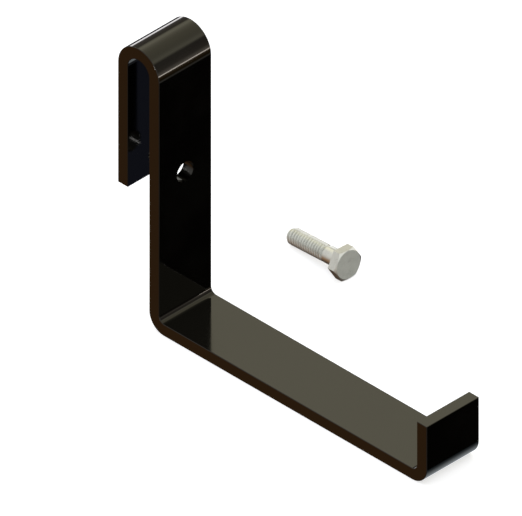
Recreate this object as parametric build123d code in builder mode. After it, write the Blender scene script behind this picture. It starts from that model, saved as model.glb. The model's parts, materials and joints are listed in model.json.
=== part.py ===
from build123d import *
import math
import os

# L-shaped cable bracket: one flat bar bent to a lip, an arm, a leg and a hook, and its clamp bolt.
# Lengths are millimetres and angles are degrees. The origin is the middle of the arm's flat
# underside. +X runs along the arm to the lip, +Y runs across the bar, +Z runs up the leg.

# Flat bar stock
bar_width = 25.4
bar_thickness = 4.76
bar_edge_radius = 0.2
cut_end_chamfer = 0.13

# Bent outline, measured over the outside of the bar
arm_length = 134.5
leg_height = 114.3
lip_height = 25.4
bend_inner_radius = 2.4

# Hook at the top of the leg, which hangs over a rack stringer and ends in a tail
hook_gap = 10.4
hook_drop = 60.6

# Hex bolt that clamps the hook below the stringer
bolt_diameter = 6.35
bolt_length = 25.4
bolt_point_length = 0.9
bolt_neck_radius = 0.4
head_across_flats = 11.11
head_height = 3.97
head_face_diameter = 10.7
head_chamfer_angle = 30.0
washer_face_diameter = 10.5
washer_face_height = 0.35

# Holes for the bolt, on one axis through the leg and the tail
hole_drop = 52.8
leg_hole_clearance = 0.85
thread_wall_clearance = 0.05
thread_lead_in = 0.15

# Where the loose bolt lies beside the bracket
bolt_spacing = 38.1
bolt_ahead_of_leg = 19.1
bolt_yaw = -3.0

# Derived places of the bar's centre line
half_thickness = bar_thickness / 2
bend_radius = bend_inner_radius + half_thickness
hook_radius = (hook_gap + bar_thickness) / 2
lip_x = arm_length / 2 - half_thickness
leg_x = half_thickness - arm_length / 2
tail_x = leg_x - 2 * hook_radius
hook_start_z = leg_height - half_thickness - hook_radius
tail_end_z = leg_height - hook_drop

# Derived sizes of the two holes
hole_z = leg_height - hole_drop
leg_hole_radius = bolt_diameter / 2 + leg_hole_clearance
thread_radius = bolt_diameter / 2 + thread_wall_clearance

# Derived sizes of the bolt
shank_radius = bolt_diameter / 2
point_radius = shank_radius - bolt_point_length
flat_radius = head_across_flats / 2
corner_radius = flat_radius / math.cos(math.radians(30))
face_radius = head_face_diameter / 2
washer_radius = washer_face_diameter / 2
crown_height = head_height - (corner_radius - face_radius) * math.tan(math.radians(head_chamfer_angle))

# Bracket: the bar's rounded section swept along its bent centre line
with BuildPart() as bracket:
    with BuildLine(Plane.XZ) as centre_line:
        FilletPolyline(
            (lip_x, lip_height),
            (lip_x, half_thickness),
            (leg_x, half_thickness),
            (leg_x, hook_start_z),
            radius=bend_radius,
        )
        JernArc((leg_x, hook_start_z), (0, 1), hook_radius, 180)
        Line((tail_x, hook_start_z), (tail_x, tail_end_z))
    bar_path = centre_line.wire()
    with BuildSketch(Plane(origin=bar_path @ 0, x_dir=(0, 1, 0), z_dir=bar_path % 0)):
        RectangleRounded(bar_width, bar_thickness, bar_edge_radius)
    sweep(path=bar_path)

    # The two cut ends are the smallest level faces
    cut_ends = bracket.faces().filter_by(Axis.Z).sort_by(SortBy.AREA)[:2]
    chamfer(cut_ends.edges(), cut_end_chamfer)

    # Clearance hole through the leg, drilled from its front face
    with Locations(Plane(origin=(leg_x + half_thickness, 0, hole_z), z_dir=(1, 0, 0))):
        Hole(leg_hole_radius, depth=bar_thickness)

    # Tapped hole through the tail, with a lead-in on each face
    for side in (-1, 1):
        with Locations(Plane(origin=(tail_x + side * half_thickness, 0, hole_z), z_dir=(side, 0, 0))):
            CounterSinkHole(
                thread_radius,
                thread_radius + thread_lead_in,
                depth=bar_thickness,
                counter_sink_angle=90,
            )
bracket.part.label = "bracket"

# The loose bolt rests on the rim of its point and on the seat-side edge of one flat of its head
rim_to_flat = bolt_length - bolt_point_length + washer_face_height
bolt_tilt = math.degrees(math.atan2(flat_radius - shank_radius, rim_to_flat))
bolt_direction = Vector(1, 0, 0).rotate(Axis.Y, -bolt_tilt).rotate(Axis.Z, bolt_yaw)
bolt_side = Vector(0, 1, 0).rotate(Axis.Z, bolt_yaw)
seat_centre = Vector(
    leg_x + half_thickness + bolt_ahead_of_leg,
    bar_width / 2 + bolt_spacing + flat_radius,
    flat_radius * math.cos(math.radians(bolt_tilt))
    - washer_face_height * math.sin(math.radians(bolt_tilt)),
)
seat_plane = Plane(origin=seat_centre, x_dir=bolt_side, z_dir=bolt_direction)
bolt_axis = Axis(seat_centre, bolt_direction)

# In the bolt's section, x runs out from its axis and y runs from the seat towards the head's face
bolt_section = Plane(origin=seat_centre, x_dir=bolt_side, z_dir=bolt_side.cross(bolt_direction))

# Clamp bolt: a hexagon with a crowned face, on a turned washer face, shank and point
with BuildPart() as clamp_bolt:
    with BuildSketch(seat_plane.offset(washer_face_height)):
        RegularPolygon(flat_radius, side_count=6, major_radius=False)
    extrude(amount=head_height - washer_face_height)
    with BuildSketch(bolt_section):
        with BuildLine():
            Polyline(
                (0, 0),
                (corner_radius, 0),
                (corner_radius, crown_height),
                (face_radius, head_height),
                (0, head_height),
                close=True,
            )
        make_face()
    revolve(axis=bolt_axis, mode=Mode.INTERSECT)

    with BuildSketch(bolt_section):
        with BuildLine():
            Polyline(
                (shank_radius, -bolt_neck_radius),
                (shank_radius, bolt_point_length - bolt_length),
                (point_radius, -bolt_length),
                (0, -bolt_length),
                (0, washer_face_height),
                (washer_radius, washer_face_height),
                (washer_radius, 0),
                (shank_radius + bolt_neck_radius, 0),
            )
            TangentArc(
                (shank_radius, -bolt_neck_radius),
                (shank_radius + bolt_neck_radius, 0),
                tangent=(0, 1),
            )
        make_face()
    revolve(axis=bolt_axis)
clamp_bolt.part.label = "clamp_bolt"

os.makedirs("parts", exist_ok=True)
export_step(bracket.part, "parts/bracket.step")
export_step(clamp_bolt.part, "parts/clamp_bolt.step")
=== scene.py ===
import json
import math

import bmesh
import bpy
from mathutils import Matrix, Vector


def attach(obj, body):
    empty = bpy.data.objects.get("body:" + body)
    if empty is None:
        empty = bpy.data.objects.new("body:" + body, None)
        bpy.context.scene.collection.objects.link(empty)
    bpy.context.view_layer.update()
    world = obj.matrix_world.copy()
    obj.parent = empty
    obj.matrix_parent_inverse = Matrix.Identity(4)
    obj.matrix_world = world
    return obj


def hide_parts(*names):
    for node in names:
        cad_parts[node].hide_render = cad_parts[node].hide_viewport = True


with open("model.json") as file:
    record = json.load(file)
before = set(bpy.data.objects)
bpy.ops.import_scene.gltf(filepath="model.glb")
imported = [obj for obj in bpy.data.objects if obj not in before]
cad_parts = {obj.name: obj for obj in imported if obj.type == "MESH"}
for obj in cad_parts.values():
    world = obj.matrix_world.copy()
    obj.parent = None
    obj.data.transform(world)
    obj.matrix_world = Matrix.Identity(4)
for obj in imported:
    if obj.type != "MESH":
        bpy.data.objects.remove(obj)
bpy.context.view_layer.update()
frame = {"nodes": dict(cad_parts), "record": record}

# Places and sizes are in metres, in the bracket's own frame: the origin is the middle of the
# arm's flat underside, +X runs to the lip, +Y across the bar and +Z up the leg.
MM = 0.001
NODES = frame["nodes"]
MOUNTS = {mount["name"]: mount for mount in frame["record"]["mounts"]}

# The arm's length over the outside of the leg and the lip, and the width of the flat bar
ARM_LENGTH = 134.5 * MM
BAR_WIDTH = 25.4 * MM

# Hex bolt, from its seat: the head rises along +Z and the shank runs down -Z
BOLT_RADIUS = 3.175 * MM
BOLT_LENGTH = 25.4 * MM
POINT_LENGTH = 0.9 * MM
NECK_RADIUS = 0.4 * MM
FLAT_RADIUS = 11.11 / 2 * MM
HEAD_HEIGHT = 3.97 * MM
FACE_RADIUS = 10.7 / 2 * MM
CROWN_SLOPE = math.tan(math.radians(30))
WASHER_RADIUS = 10.5 / 2 * MM
WASHER_HEIGHT = 0.35 * MM

# Where the loose bolt lies: its seat ahead of the leg, its head beyond the bar's far edge, and how
# far it is turned on the floor
BOLT_AHEAD_OF_LEG = 19.1 * MM
BOLT_SPACING = 38.1 * MM
BOLT_YAW = math.radians(-3)

# The bolt's thread, which the tapped hole repeats from the other side
THREAD_LENGTH = 19.05 * MM
THREAD_PITCH = 1.27 * MM
THREAD_DEPTH = 0.70 * MM
CREST_WIDTH = 0.22 * MM
ROOT_WIDTH = 0.22 * MM
CORE_RADIUS = BOLT_RADIUS - THREAD_DEPTH

# How far from the bolt's end its thread starts, the length over which it runs out into the plain
# shank, and how deep the foot of a thread stands in the metal
THREAD_INSET = 0.35 * MM
RUN_OUT = 0.8 * THREAD_PITCH
THREAD_SINK = 0.03 * MM

# The turns over which a thread rises from nothing at each end
BOLT_FADE_TURNS = 0.7
TAP_FADE_TURNS = 0.5

# How many turns too long the tapped thread is wound at each end before it is cut level, and how
# far it is turned so that its crest meets the tail's inner face on the bar's near side
TAP_SPARE_TURNS = 1
TAP_TURN = math.radians(86)

# How finely the bolt's rings and a thread's turns are divided, the least turn of an edge that
# stays sharp, and the gap at which two points are one
RING_STEPS = 96
TURN_STEPS = 48
SHARP_ANGLE = math.radians(25)
MERGE_GAP = 0.0001 * MM

# The picture: a square-on corner view without perspective
PICTURE_WIDTH = 522
PICTURE_HEIGHT = 516
PIXELS_PER_METRE = 2917.6
CORNER_PIXEL = (149.17, 327.59)
CAMERA_DISTANCE = 0.8

# The pale floor reaches this far each way
FLOOR_REACH = 3.0

# Plain colours, and those that the walls of the studio's far end share
WHITE = (1.0, 1.0, 1.0)
BLACK = (0.0, 0.0, 0.0)
GROUND = (0.64, 0.70, 0.73)
WALL = (0.27, 0.235, 0.19)
SHADE_BELOW = (0.03, 0.03, 0.032)

# A Mix node has sockets for each type of data, so its colour ones go by number
MIX_FIRST_COLOUR = 6
MIX_SECOND_COLOUR = 7
MIXED_COLOUR = 2


# Node trees written as expressions
class Field:
    """One socket of a node tree. Arithmetic on it adds the Math nodes that do the sum."""

    def __init__(self, kit, socket):
        self.kit = kit
        self.socket = socket

    def math(self, operation, *values):
        return self.kit.node("ShaderNodeMath", {"operation": operation}, dict(enumerate(values)))

    def __add__(self, other):
        return self.math("ADD", self, other)

    def __radd__(self, other):
        return self.math("ADD", other, self)

    def __sub__(self, other):
        return self.math("SUBTRACT", self, other)

    def __rsub__(self, other):
        return self.math("SUBTRACT", other, self)

    def __mul__(self, other):
        return self.math("MULTIPLY", self, other)

    def __rmul__(self, other):
        return self.math("MULTIPLY", other, self)

    def __truediv__(self, other):
        return self.math("DIVIDE", self, other)

    def __rtruediv__(self, other):
        return self.math("DIVIDE", other, self)

    def __abs__(self):
        return self.math("ABSOLUTE", self)

    def at_most(self, other):
        return self.math("MINIMUM", self, other)

    def smooth(self, low, high):
        """0 up to low, 1 from high on, and a smooth step between them."""
        limits = {"Value": self, "From Min": low, "From Max": high}
        return self.kit.node("ShaderNodeMapRange", {"interpolation_type": "SMOOTHSTEP"}, limits)


def opaque(colour):
    """A colour's red, green and blue with full alpha. A Field stays as it is."""
    return colour if isinstance(colour, Field) else (*colour, 1.0)


class Kit:
    """Adds nodes to one tree."""

    def __init__(self, tree):
        self.tree = tree

    def node(self, kind, settings=None, sockets=None, output=0):
        """A node of this kind, with its settings set first and then its sockets."""
        made = self.tree.nodes.new(kind)
        for name, value in (settings or {}).items():
            if name == "stops":
                self.set_stops(made.color_ramp, value)
            else:
                setattr(made, name, value)
        for name, value in (sockets or {}).items():
            if isinstance(value, Field):
                self.tree.links.new(value.socket, made.inputs[name])
            else:
                made.inputs[name].default_value = value
        if not made.outputs:
            return made
        return Field(self, made.outputs[output])

    def set_stops(self, ramp, stops):
        """A ramp's stops, each a position and a colour."""
        while len(ramp.elements) < len(stops):
            ramp.elements.new(1.0)
        for element, (position, colour) in zip(ramp.elements, stops):
            element.position = position
            element.color = opaque(colour)

    def parts(self, vector):
        """The x, y and z of a vector."""
        split = self.node("ShaderNodeSeparateXYZ", sockets={"Vector": vector})
        return [Field(self, socket) for socket in split.socket.node.outputs]

    def dot(self, vector, way):
        """How far a vector points this way."""
        settings = {"operation": "DOT_PRODUCT"}
        return self.node("ShaderNodeVectorMath", settings, {0: vector, 1: way}, output="Value")

    def mix(self, factor, first, second):
        """The first colour where the factor is 0 and the second where it is 1."""
        sockets = {
            "Factor": factor,
            MIX_FIRST_COLOUR: opaque(first),
            MIX_SECOND_COLOUR: opaque(second),
        }
        return self.node("ShaderNodeMix", {"data_type": "RGBA"}, sockets, output=MIXED_COLOUR)

    def noise(self, size, detail):
        """Cloudy noise from 0 to 1 whose patches are about this size, in metres."""
        place = self.node("ShaderNodeTexCoord", output="Object")
        sockets = {"Vector": place, "Scale": 1 / size, "Detail": detail}
        return self.node("ShaderNodeTexNoise", sockets=sockets, output="Fac")

    def bump(self, height, strength, depth):
        """Fine relief from a height of 0 to 1, where 1 stands for this depth, in metres."""
        sockets = {"Strength": strength, "Distance": depth, "Height": height}
        return self.node("ShaderNodeBump", sockets=sockets)

    def surface(self, sockets):
        """The material's surface, with these values on its sockets."""
        shader = self.node("ShaderNodeBsdfPrincipled", sockets=sockets, output="BSDF")
        self.node("ShaderNodeOutputMaterial", sockets={"Surface": shader})


def new_material(name):
    material = bpy.data.materials.new(name)
    material.use_nodes = True
    material.node_tree.nodes.clear()
    return material, Kit(material.node_tree)


# Finishes
def gloss_black_coat():
    """A sprayed and baked gloss coat: near black and wet-looking, with a faint orange peel."""
    material, kit = new_material("gloss_black_coat")
    cloud = kit.noise(18 * MM, detail=3.0)
    peel = kit.noise(2.2 * MM, detail=1.5)
    speck = kit.noise(0.6 * MM, detail=2.0)
    deep = (0.0008, 0.0007, 0.0006)
    thin = (0.0014, 0.0012, 0.0010)
    kit.surface(
        {
            "Base Color": kit.mix(cloud.smooth(0.35, 0.65), deep, thin),
            "Roughness": 0.055 + 0.035 * cloud.smooth(0.3, 0.7) + 0.02 * speck.smooth(0.55, 0.75),
            "IOR": 1.5,
            "Normal": kit.bump(peel, strength=0.05, depth=0.03 * MM),
        }
    )
    return material


def zinc_plate():
    """Clear zinc plating: pale grey and satin, with faint mottling and fine grain."""
    material, kit = new_material("zinc_plate")
    cloud = kit.noise(3.5 * MM, detail=3.0)
    mottle = kit.noise(1.1 * MM, detail=2.0)
    grain = kit.noise(0.18 * MM, detail=2.0)
    grey = (0.69, 0.71, 0.70)
    pale = (0.75, 0.77, 0.76)
    dull = (0.63, 0.64, 0.63)
    plain = kit.mix(cloud.smooth(0.35, 0.65), grey, pale)
    kit.surface(
        {
            "Base Color": kit.mix(mottle.smooth(0.5, 0.8) * 0.35, plain, dull),
            "Metallic": 0.92,
            "Roughness": 0.24 + 0.05 * cloud + 0.04 * grain,
            "Normal": kit.bump(grain, strength=0.15, depth=0.02 * MM),
        }
    )
    return material


def pale_floor():
    """A plain pale floor that glows a little, as a light table does, so that shadows stay faint."""
    material, kit = new_material("studio_floor")
    cloud = kit.noise(0.4, detail=1.0)
    kit.surface(
        {
            "Base Color": kit.mix(cloud, (0.59, 0.60, 0.62), (0.60, 0.61, 0.63)),
            "Roughness": 0.9,
            "Specular IOR Level": 0.0,
            "Emission Color": opaque(WHITE),
            "Emission Strength": 0.64,
        }
    )
    return material


# Meshes
def shade(mesh):
    """Smooth shading, apart from the edges that turn by more than the sharp angle."""
    mesh.shade_smooth()
    mesh.set_sharp_from_angle(angle=SHARP_ANGLE)


def new_piece(name, mesh, material):
    """A visible piece of the object, which rides on its one body."""
    mesh.materials.clear()
    mesh.materials.append(material)
    piece = bpy.data.objects.new(name, mesh)
    bpy.context.scene.collection.objects.link(piece)
    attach(piece, "root")
    return piece


def add_rings(solid, rings, steps):
    """Adds a closed skin through rings round Z, given upwards, to a bmesh. A ring is its radius
    and its height, each a number or a function of the turn, and the two end rings have no radius."""
    turns = [2 * math.pi * step / steps for step in range(steps)]
    rows = []
    for radius, height in rings:
        radii = [radius(turn) if callable(radius) else radius for turn in turns]
        heights = [height(turn) if callable(height) else height for turn in turns]
        if max(radii) == 0:
            rows.append([solid.verts.new((0, 0, heights[0]))] * steps)
            continue
        corners = zip(radii, turns, heights)
        rows.append([solid.verts.new((r * math.cos(t), r * math.sin(t), h)) for r, t, h in corners])
    for lower, upper in zip(rows, rows[1:]):
        for step in range(steps):
            after = (step + 1) % steps
            loop = [lower[step], lower[after], upper[after], upper[step]]
            solid.faces.new(list(dict.fromkeys(loop)))


def cut_level(mesh, low, high):
    """Cuts a closed mesh level at two heights and closes both cuts."""
    solid = bmesh.new()
    solid.from_mesh(mesh)
    for height, outwards in ((low, -1), (high, 1)):
        cut = bmesh.ops.bisect_plane(
            solid,
            geom=[*solid.verts, *solid.edges, *solid.faces],
            dist=MERGE_GAP,
            plane_co=(0, 0, height),
            plane_no=(0, 0, outwards),
            clear_outer=True,
        )
        rim = [part for part in cut["geom_cut"] if isinstance(part, bmesh.types.BMEdge)]
        bmesh.ops.holes_fill(solid, edges=rim, sides=0)
    bmesh.ops.recalc_face_normals(solid, faces=solid.faces)
    solid.to_mesh(mesh)
    solid.free()


# Helical thread, one node tree for the bolt and the tapped hole
def thread_ridge_tree():
    """A ridge of cut V section wound right-handed round Z, fading out at both ends. A negative
    height turns its crest inwards."""
    tree = bpy.data.node_groups.new("thread_ridge", "GeometryNodeTree")
    for name in ("Radius", "Pitch", "Turns", "Base Width", "Crest Width", "Height", "Fade Turns"):
        tree.interface.new_socket(name, in_out="INPUT", socket_type="NodeSocketFloat")
    tree.interface.new_socket("Turn Steps", in_out="INPUT", socket_type="NodeSocketInt")
    tree.interface.new_socket("Finish", in_out="INPUT", socket_type="NodeSocketMaterial")
    tree.interface.new_socket("Ridge", in_out="OUTPUT", socket_type="NodeSocketGeometry")
    kit = Kit(tree)
    inputs = tree.nodes.new("NodeGroupInput")
    given = {socket.name: Field(kit, socket) for socket in inputs.outputs if socket.name}

    def corner(out, up):
        return kit.node("ShaderNodeCombineXYZ", sockets={"X": out, "Y": up, "Z": 0.0})

    helix = kit.node(
        "GeometryNodeCurveSpiral",
        sockets={
            "Resolution": given["Turn Steps"],
            "Rotations": given["Turns"],
            "Start Radius": given["Radius"],
            "End Radius": given["Radius"],
            "Height": given["Turns"] * given["Pitch"],
            "Reverse": True,
        },
    )
    upright = kit.node("GeometryNodeSetCurveNormal", {"mode": "Z_UP"}, {"Curve": helix})
    section = kit.node(
        "GeometryNodeCurvePrimitiveQuadrilateral",
        {"mode": "POINTS"},
        {
            "Point 1": corner(0.0, given["Base Width"] * -0.5),
            "Point 2": corner(given["Height"], given["Crest Width"] * -0.5),
            "Point 3": corner(given["Height"], given["Crest Width"] * 0.5),
            "Point 4": corner(0.0, given["Base Width"] * 0.5),
        },
    )
    along = kit.node("GeometryNodeSplineParameter", output="Factor") * given["Turns"]
    left = given["Turns"] - along
    fade = (along.at_most(left) / given["Fade Turns"]).at_most(1.0)
    ridge = kit.node(
        "GeometryNodeCurveToMesh",
        sockets={"Curve": upright, "Profile Curve": section, "Scale": fade, "Fill Caps": True},
    )
    real = kit.node("GeometryNodeRealizeInstances", sockets={"Geometry": ridge})
    dressed = kit.node(
        "GeometryNodeSetMaterial", sockets={"Geometry": real, "Material": given["Finish"]}
    )
    kit.node("NodeGroupOutput", sockets={"Ridge": dressed})
    return tree


def thread_ridge(tree, material, radius, height, turns, fade_turns):
    """A mesh of the thread's ridge, which starts at the origin and winds up Z."""
    values = {
        "Radius": radius,
        "Pitch": THREAD_PITCH,
        "Turns": turns,
        "Base Width": THREAD_PITCH - ROOT_WIDTH,
        "Crest Width": CREST_WIDTH,
        "Height": height,
        "Fade Turns": fade_turns,
        "Turn Steps": TURN_STEPS,
        "Finish": material,
    }
    holder = bpy.data.objects.new("thread_holder", bpy.data.meshes.new("thread_holder"))
    bpy.context.scene.collection.objects.link(holder)
    winding = holder.modifiers.new("thread_ridge", "NODES")
    winding.node_group = tree
    for socket in tree.interface.items_tree:
        if socket.in_out == "INPUT":
            winding[socket.identifier] = values[socket.name]
    bpy.context.view_layer.update()
    evaluated = holder.evaluated_get(bpy.context.evaluated_depsgraph_get())
    mesh = bpy.data.meshes.new_from_object(evaluated)
    bpy.data.objects.remove(holder)
    solid = bmesh.new()
    solid.from_mesh(mesh)
    bmesh.ops.remove_doubles(solid, verts=solid.verts, dist=MERGE_GAP)
    bmesh.ops.dissolve_degenerate(solid, edges=solid.edges, dist=MERGE_GAP)
    bmesh.ops.recalc_face_normals(solid, faces=solid.faces)
    solid.to_mesh(mesh)
    solid.free()
    return mesh


# Clamp bolt with its real thread
def hexagon(turn):
    """The head's radius at this turn: a corner at 0 and a flat square to Y."""
    return FLAT_RADIUS / math.cos(turn % math.radians(60) - math.radians(30))


def crown_edge(turn):
    """The height at which the crowned face meets the hexagon's flats."""
    return HEAD_HEIGHT - (hexagon(turn) - FACE_RADIUS) * CROWN_SLOPE


def neck_ring(turn):
    """A ring of the fillet under the head, at this turn round the fillet from the shank."""
    return (
        BOLT_RADIUS + NECK_RADIUS * (1 - math.cos(turn)),
        NECK_RADIUS * (math.sin(turn) - 1),
    )


def bolt_rings():
    """The bolt's skin from its point up to its head's face, cut down to the thread's core."""
    thread_top = THREAD_LENGTH - BOLT_LENGTH
    point_radius = BOLT_RADIUS - POINT_LENGTH
    return [
        (0, -BOLT_LENGTH),
        (point_radius, -BOLT_LENGTH),
        (CORE_RADIUS, CORE_RADIUS - point_radius - BOLT_LENGTH),
        (CORE_RADIUS, thread_top - RUN_OUT),
        (BOLT_RADIUS, thread_top),
        (BOLT_RADIUS, -NECK_RADIUS),
        *[neck_ring(math.radians(angle)) for angle in (22.5, 45, 67.5)],
        (BOLT_RADIUS + NECK_RADIUS, 0),
        (WASHER_RADIUS, 0),
        (WASHER_RADIUS, WASHER_HEIGHT),
        (hexagon, WASHER_HEIGHT),
        (hexagon, crown_edge),
        (FACE_RADIUS, HEAD_HEIGHT),
        (0, HEAD_HEIGHT),
    ]


def bolt_place():
    """The matrix that lays the bolt on one flat of its head and the rim of its point."""
    rim_to_flat = BOLT_LENGTH - POINT_LENGTH + WASHER_HEIGHT
    tilt = math.atan2(FLAT_RADIUS - BOLT_RADIUS, rim_to_flat)
    leg_hole = MOUNTS["leg_hole"]
    leg_front = leg_hole["pos_m"][0] + leg_hole["dims"]["length_mm"] / 2 * MM
    seat = (
        leg_front + BOLT_AHEAD_OF_LEG,
        BAR_WIDTH / 2 + BOLT_SPACING + FLAT_RADIUS,
        FLAT_RADIUS * math.cos(tilt) - WASHER_HEIGHT * math.sin(tilt),
    )
    head_up_x = Matrix.Rotation(math.radians(90), 4, "Z") @ Matrix.Rotation(math.radians(90), 4, "X")
    turned = Matrix.Rotation(BOLT_YAW, 4, "Z") @ Matrix.Rotation(-tilt, 4, "Y") @ head_up_x
    return Matrix.Translation(seat) @ turned


def clamp_bolt(tree, material):
    """The bolt's skin and its thread, laid in place as one mesh."""
    ridge_length = THREAD_LENGTH - THREAD_INSET - RUN_OUT / 2
    ridge = thread_ridge(
        tree,
        material,
        radius=CORE_RADIUS - THREAD_SINK,
        height=THREAD_DEPTH + THREAD_SINK,
        turns=ridge_length / THREAD_PITCH,
        fade_turns=BOLT_FADE_TURNS,
    )
    ridge.transform(Matrix.Translation((0, 0, THREAD_INSET - BOLT_LENGTH)))
    solid = bmesh.new()
    add_rings(solid, bolt_rings(), RING_STEPS)
    solid.from_mesh(ridge)
    mesh = bpy.data.meshes.new("threaded_clamp_bolt")
    solid.to_mesh(mesh)
    solid.free()
    mesh.transform(bolt_place())
    shade(mesh)
    piece = new_piece("threaded_clamp_bolt", mesh, material)
    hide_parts("clamp_bolt")
    return piece


# Tapped hole in the hook's tail
def tail_thread(tree, material):
    """The hole's thread, which stands in from its wall and is cut level inside both lead-ins, as a
    tap leaves it."""
    mount = MOUNTS["tail_thread"]
    wall_radius = mount["dims"]["r_mm"] * MM
    length = mount["dims"]["length_mm"] * MM
    spare = TAP_SPARE_TURNS * THREAD_PITCH
    mesh = thread_ridge(
        tree,
        material,
        radius=wall_radius + THREAD_SINK,
        height=-THREAD_DEPTH,
        turns=length / THREAD_PITCH + 2 * TAP_SPARE_TURNS,
        fade_turns=TAP_FADE_TURNS,
    )
    cut_level(mesh, spare, spare + length)
    centred = Matrix.Translation((0, 0, -spare - length / 2))
    along_x = Matrix.Rotation(math.radians(90), 4, "Y")
    mesh.transform(along_x @ Matrix.Rotation(TAP_TURN, 4, "Z") @ centred)
    mesh.transform(Matrix.Translation(mount["pos_m"]))
    shade(mesh)
    new_piece("tail_hole_thread", mesh, material)


# Studio that the pieces mirror, as a colour for each direction they look in
def by_height(kit, height, stops):
    """A colour that runs through these stops. Each is a height, from -1 straight down to 1
    straight up, and its colour."""
    places = [((level + 1) / 2, colour) for level, colour in stops]
    return kit.node("ShaderNodeValToRGB", {"stops": places}, {"Fac": height * 0.5 + 0.5})


def two_walls(kit, x, z, hook_side, lip_side):
    """One wall on the hook's side of the studio and one on the lip's, each as its stops."""
    return kit.mix(x.smooth(-0.3, 0.3), by_height(kit, z, hook_side), by_height(kit, z, lip_side))


def far_end(kit, direction):
    """The studio's far end, towards +Y. Each wall has a low lamp, and a strip of light below it.
    Between the walls it is plain and dim, and a bright panel fills each upper corner."""
    x, y, z = kit.parts(direction)
    blue_strip = (0.9, 1.0, 1.5)
    hook_side = [
        (-0.79, GROUND),
        (-0.70, (0.9, 0.95, 1.0)),
        (-0.61, blue_strip),
        (-0.555, blue_strip),
        (-0.53, SHADE_BELOW),
        (-0.18, SHADE_BELOW),
        (-0.12, (0.9, 0.85, 0.9)),
        (-0.08, (3.9, 3.8, 3.8)),
        (0.05, (3.6, 3.5, 3.5)),
        (0.10, (0.25, 0.23, 0.22)),
        (0.35, WALL),
    ]
    dark_gap = (0.004, 0.003, 0.002)
    warm_strip = (0.34, 0.32, 0.27)
    low_lamp = (9.0, 8.2, 7.2)
    lip_side = [
        (-0.80, GROUND),
        (-0.74, (0.36, 0.43, 0.46)),
        (-0.69, (0.10, 0.135, 0.15)),
        (-0.64, dark_gap),
        (-0.486, dark_gap),
        (-0.472, warm_strip),
        (-0.452, warm_strip),
        (-0.43, (0.06, 0.04, 0.01)),
        (-0.34, (0.13, 0.08, 0.03)),
        (-0.21, (0.38, 0.26, 0.15)),
        (-0.187, low_lamp),
        (-0.163, low_lamp),
        (-0.14, (1.2, 1.0, 0.85)),
        (-0.03, (0.80, 0.72, 0.58)),
        (0.10, (0.35, 0.30, 0.24)),
        (0.35, WALL),
    ]
    between = [(-0.80, GROUND), (-0.66, SHADE_BELOW), (-0.35, SHADE_BELOW), (0.0, WALL)]
    panel = (1.25, 1.23, 1.14)
    aside = abs(x).smooth(0.3, 0.5)
    walls = kit.mix(aside, by_height(kit, z, between), two_walls(kit, x, z, hook_side, lip_side))
    in_panel = aside * y.smooth(0.62, 0.70) * z.smooth(-0.2, 0.0)
    return kit.mix(in_panel, walls, panel)


def near_end(kit, direction):
    """The rest of the studio up to its ceiling: two walls that pale upwards from dark brown, a dim
    stretch between them, and a grey card that the bolt's face mirrors."""
    x, _, z = kit.parts(direction)
    hook_side = [
        (-0.85, (0.05, 0.03, 0.02)),
        (-0.72, (0.08, 0.05, 0.03)),
        (-0.64, (0.28, 0.135, 0.05)),
        (-0.50, (0.30, 0.15, 0.06)),
        (-0.30, (0.42, 0.34, 0.27)),
        (-0.05, (0.66, 0.62, 0.56)),
        (0.20, (0.79, 0.77, 0.71)),
    ]
    lip_side = [
        (-0.90, (0.03, 0.02, 0.015)),
        (-0.76, (0.07, 0.05, 0.035)),
        (-0.58, (0.26, 0.19, 0.15)),
        (-0.25, (0.66, 0.62, 0.56)),
        (0.06, (0.80, 0.79, 0.73)),
        (0.20, (0.83, 0.82, 0.75)),
        (0.30, (1.00, 0.99, 0.91)),
    ]
    between = (0.28, 0.26, 0.23)
    card = (0.49, 0.50, 0.46)
    card_way = (0.733, 0.508, -0.45)
    walls = kit.mix(abs(x).smooth(0.05, 0.3), between, two_walls(kit, x, z, hook_side, lip_side))
    return kit.mix(kit.dot(direction, card_way).smooth(0.88, 0.95), walls, card)


def ceiling(kit, direction):
    """The studio overhead: a broad warm lamp over the far end, dimmer on the lip's side, and a plain
    pale one over the near end."""
    x, y, z = kit.parts(direction)
    far_lamp = [
        (0.55, (1.22, 1.15, 0.84)),
        (0.58, (1.29, 1.21, 0.89)),
        (0.634, (1.50, 1.40, 1.03)),
        (0.684, (1.34, 1.26, 0.91)),
        (0.727, (1.13, 1.05, 0.76)),
        (0.762, (1.03, 0.95, 0.68)),
        (0.82, (0.87, 0.80, 0.56)),
        (1.0, (0.75, 0.70, 0.50)),
    ]
    lip_side_loss = 0.22
    near_lamp = (0.80, 0.78, 0.72)
    overhead = kit.mix(x.smooth(0.0, 0.4) * lip_side_loss, by_height(kit, z, far_lamp), BLACK)
    return kit.mix(y.smooth(-0.3, 0.4), near_lamp, overhead)


def studio_surroundings():
    """The world: plain white to the camera, and to the pieces a studio of two ends and a ceiling.
    The ceiling's edge rises a little towards the lip's side."""
    world = bpy.data.worlds.new("studio")
    world.use_nodes = True
    world.node_tree.nodes.clear()
    kit = Kit(world.node_tree)
    direction = kit.node("ShaderNodeTexCoord", output="Generated")
    x, y, z = kit.parts(direction)
    walls = kit.mix(y.smooth(0.50, 0.56), near_end(kit, direction), far_end(kit, direction))
    edge_slope = 0.035
    over_edge = (z - edge_slope * x).smooth(0.48, 0.60)
    mirrored = kit.mix(over_edge, walls, ceiling(kit, direction))
    to_camera = kit.node("ShaderNodeLightPath", output="Is Camera Ray")
    colour = kit.mix(to_camera, mirrored, WHITE)
    background = kit.node("ShaderNodeBackground", sockets={"Color": colour, "Strength": 1.0})
    kit.node("ShaderNodeOutputWorld", sockets={"Surface": background})
    bpy.context.scene.world = world


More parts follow.
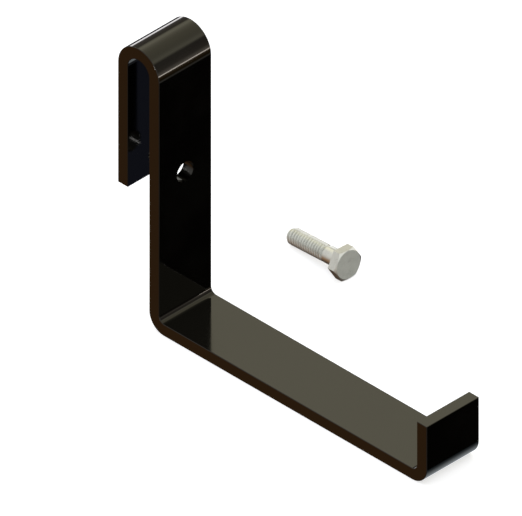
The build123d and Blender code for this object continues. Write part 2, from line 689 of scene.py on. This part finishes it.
# Lamps, floor and camera
def add_lamp(lamp, place, long_way, energy, colour):
    """Puts a lamp at a place, pointed at the origin and with its Y side turned the long way, where
    the camera doesn't see it."""
    lamp.energy = energy
    lamp.color = colour
    holder = bpy.data.objects.new(lamp.name, lamp)
    back = place.normalized()
    side = long_way.cross(back).normalized()
    turned = Matrix((side, back.cross(side), back)).transposed().to_4x4()
    holder.matrix_world = Matrix.Translation(place) @ turned
    holder.visible_camera = False
    bpy.context.scene.collection.objects.link(holder)
    return holder


def keep_off(holder, piece):
    """Keeps a lamp's light off one piece, as a flag does in a studio."""
    unlit = bpy.data.collections.new("unlit_by_" + holder.name)
    unlit.objects.link(piece)
    unlit.collection_objects[0].light_linking.link_state = "EXCLUDE"
    holder.light_linking.receiver_collection = unlit


def soft_sky():
    """Soft light from above, which the pieces don't mirror."""
    lamp = bpy.data.lights.new("soft_sky", "SUN")
    lamp.angle = math.radians(80)
    holder = add_lamp(
        lamp,
        place=Vector((-0.1, 0.1, 1.0)),
        long_way=Vector((0, 1, 0)),
        energy=1.3,
        colour=(0.66, 0.73, 0.96),
    )
    holder.visible_glossy = False


def glint_strip(bolt):
    """A strip lamp on the camera's side, for glints in the gloss coat alone."""
    lamp = bpy.data.lights.new("glint_strip", "AREA")
    lamp.shape = "RECTANGLE"
    lamp.size = 0.08
    lamp.size_y = 0.6
    holder = add_lamp(
        lamp,
        place=Vector((1.45, -1.85, 0.88)),
        long_way=Vector((0, 0.43, 0.90)),
        energy=15.0,
        colour=(1.0, 0.98, 0.94),
    )
    holder.visible_diffuse = False
    keep_off(holder, bolt)


def floor():
    """The floor that the bracket and its bolt stand on. The pieces don't mirror it, and it throws
    no light back on them."""
    mesh = bpy.data.meshes.new("studio_floor")
    corners = [(-1, -1), (1, -1), (1, 1), (-1, 1)]
    mesh.from_pydata([(x * FLOOR_REACH, y * FLOOR_REACH, 0) for x, y in corners], [], [(0, 1, 2, 3)])
    mesh.materials.append(pale_floor())
    piece = bpy.data.objects.new("studio_floor", mesh)
    piece.visible_glossy = False
    piece.visible_diffuse = False
    bpy.context.scene.collection.objects.link(piece)


def corner_camera():
    """A camera without perspective that looks equally along the three axes, framed so that the
    outer corner of the L, on the bar's near side, falls on its own pixel."""
    right = Vector((1, 1, 0)).normalized()
    up = Vector((-1, 1, 2)).normalized()
    back = Vector((1, -1, 1)).normalized()
    corner = Vector((-ARM_LENGTH / 2, -BAR_WIDTH / 2, 0))
    across = (PICTURE_WIDTH / 2 - CORNER_PIXEL[0]) / PIXELS_PER_METRE
    rise = (CORNER_PIXEL[1] - PICTURE_HEIGHT / 2) / PIXELS_PER_METRE
    aim = corner + across * right + rise * up
    lens = bpy.data.cameras.new("corner_camera")
    lens.type = "ORTHO"
    lens.ortho_scale = PICTURE_WIDTH / PIXELS_PER_METRE
    camera = bpy.data.objects.new("corner_camera", lens)
    turned = Matrix((right, up, back)).transposed().to_4x4()
    camera.matrix_world = Matrix.Translation(aim + CAMERA_DISTANCE * back) @ turned
    bpy.context.scene.collection.objects.link(camera)
    bpy.context.scene.camera = camera


# The whole scene
black = gloss_black_coat()
zinc = zinc_plate()
NODES["bracket"].material_slots[0].material = black
threads = thread_ridge_tree()
bolt = clamp_bolt(threads, zinc)
tail_thread(threads, black)

corner_camera()
studio_surroundings()
soft_sky()
glint_strip(bolt)
floor()
bpy.context.scene.view_settings.view_transform = "Standard"
